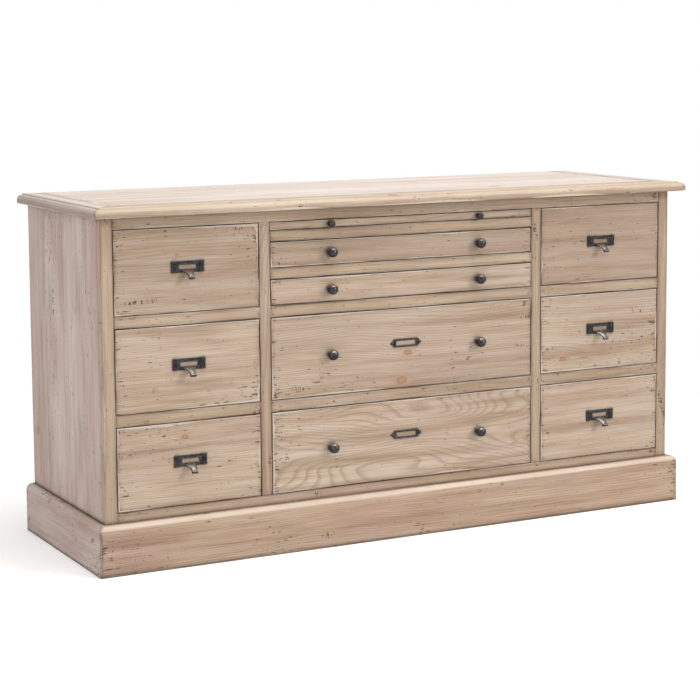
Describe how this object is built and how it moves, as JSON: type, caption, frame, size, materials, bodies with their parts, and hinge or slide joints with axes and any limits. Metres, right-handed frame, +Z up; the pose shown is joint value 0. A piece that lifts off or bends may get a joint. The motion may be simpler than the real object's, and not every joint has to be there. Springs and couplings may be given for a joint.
{
  "type": "seed storage cabinet",
  "caption": "Wide floor-standing pine seed cabinet with side columns of drawers, card-frame pulls, middle drawers with knobs and a pull-out slide under a moulded top.",
  "frame": {"origin": "on the floor, under the middle of the moulded top", "axes": "+X along the width to the right, +Y to the back, +Z up"},
  "size_m": [1.656, 0.554, 0.8615],
  "materials": {
    "top_pine": "satin",
    "side_pine": "satin",
    "frame_pine": "satin",
    "front_pine": "satin",
    "inner_pine": "matte",
    "dark_iron": "satin"
  },
  "bodies": {
    "carcass": {"back_panel": "inner_pine", "bottom_board": "inner_pine", "bottom_rail": "frame_pine", "drawer_rails": "frame_pine", "drawer_runners": "inner_pine", "middle_stiles": "frame_pine", "outer_stiles": "frame_pine", "partitions": "inner_pine", "plinth_front": "frame_pine", "plinth_left": "frame_pine", "plinth_right": "frame_pine", "side_panel_left": "side_pine", "side_panel_right": "side_pine", "top_rail": "frame_pine", "top_slab": "top_pine"},
    "left_bottom_drawer": {"left_bottom_drawer_base": "inner_pine", "left_bottom_drawer_box": "inner_pine", "left_bottom_drawer_front": "front_pine", "left_bottom_drawer_pull": "dark_iron"},
    "left_middle_drawer": {"left_middle_drawer_base": "inner_pine", "left_middle_drawer_box": "inner_pine", "left_middle_drawer_front": "front_pine", "left_middle_drawer_pull": "dark_iron"},
    "left_top_drawer": {"left_top_drawer_base": "inner_pine", "left_top_drawer_box": "inner_pine", "left_top_drawer_front": "front_pine", "left_top_drawer_pull": "dark_iron"},
    "right_bottom_drawer": {"right_bottom_drawer_base": "inner_pine", "right_bottom_drawer_box": "inner_pine", "right_bottom_drawer_front": "front_pine", "right_bottom_drawer_pull": "dark_iron"},
    "right_middle_drawer": {"right_middle_drawer_base": "inner_pine", "right_middle_drawer_box": "inner_pine", "right_middle_drawer_front": "front_pine", "right_middle_drawer_pull": "dark_iron"},
    "right_top_drawer": {"right_top_drawer_base": "inner_pine", "right_top_drawer_box": "inner_pine", "right_top_drawer_front": "front_pine", "right_top_drawer_pull": "dark_iron"},
    "lower_deep_drawer": {"lower_deep_drawer_base": "inner_pine", "lower_deep_drawer_box": "inner_pine", "lower_deep_drawer_front": "front_pine", "lower_deep_drawer_knobs": "dark_iron", "lower_deep_drawer_label_holder": "dark_iron"},
    "upper_deep_drawer": {"upper_deep_drawer_base": "inner_pine", "upper_deep_drawer_box": "inner_pine", "upper_deep_drawer_front": "front_pine", "upper_deep_drawer_knobs": "dark_iron", "upper_deep_drawer_label_holder": "dark_iron"},
    "lower_shallow_drawer": {"lower_shallow_drawer_base": "inner_pine", "lower_shallow_drawer_box": "inner_pine", "lower_shallow_drawer_front": "front_pine", "lower_shallow_drawer_knobs": "dark_iron"},
    "upper_shallow_drawer": {"upper_shallow_drawer_base": "inner_pine", "upper_shallow_drawer_box": "inner_pine", "upper_shallow_drawer_front": "front_pine", "upper_shallow_drawer_knobs": "dark_iron"},
    "slide": {"slide_board": "inner_pine", "slide_knobs": "dark_iron", "slide_lip": "front_pine"}
  },
  "joints": [
    {"name": "left_bottom_drawer_slide", "type": "slide", "parent": "carcass", "child": "left_bottom_drawer", "axis": [0, -1, 0], "range_m": [0, 0.36]},
    {"name": "left_middle_drawer_slide", "type": "slide", "parent": "carcass", "child": "left_middle_drawer", "axis": [0, -1, 0], "range_m": [0, 0.36]},
    {"name": "left_top_drawer_slide", "type": "slide", "parent": "carcass", "child": "left_top_drawer", "axis": [0, -1, 0], "range_m": [0, 0.36]},
    {"name": "right_bottom_drawer_slide", "type": "slide", "parent": "carcass", "child": "right_bottom_drawer", "axis": [0, -1, 0], "range_m": [0, 0.36]},
    {"name": "right_middle_drawer_slide", "type": "slide", "parent": "carcass", "child": "right_middle_drawer", "axis": [0, -1, 0], "range_m": [0, 0.36]},
    {"name": "right_top_drawer_slide", "type": "slide", "parent": "carcass", "child": "right_top_drawer", "axis": [0, -1, 0], "range_m": [0, 0.36]},
    {"name": "lower_deep_drawer_slide", "type": "slide", "parent": "carcass", "child": "lower_deep_drawer", "axis": [0, -1, 0], "range_m": [0, 0.36]},
    {"name": "upper_deep_drawer_slide", "type": "slide", "parent": "carcass", "child": "upper_deep_drawer", "axis": [0, -1, 0], "range_m": [0, 0.36]},
    {"name": "lower_shallow_drawer_slide", "type": "slide", "parent": "carcass", "child": "lower_shallow_drawer", "axis": [0, -1, 0], "range_m": [0, 0.36]},
    {"name": "upper_shallow_drawer_slide", "type": "slide", "parent": "carcass", "child": "upper_shallow_drawer", "axis": [0, -1, 0], "range_m": [0, 0.36]},
    {"name": "slide_pull_out", "type": "slide", "parent": "carcass", "child": "slide", "axis": [0, -1, 0], "range_m": [0, 0.3]}
  ]
}
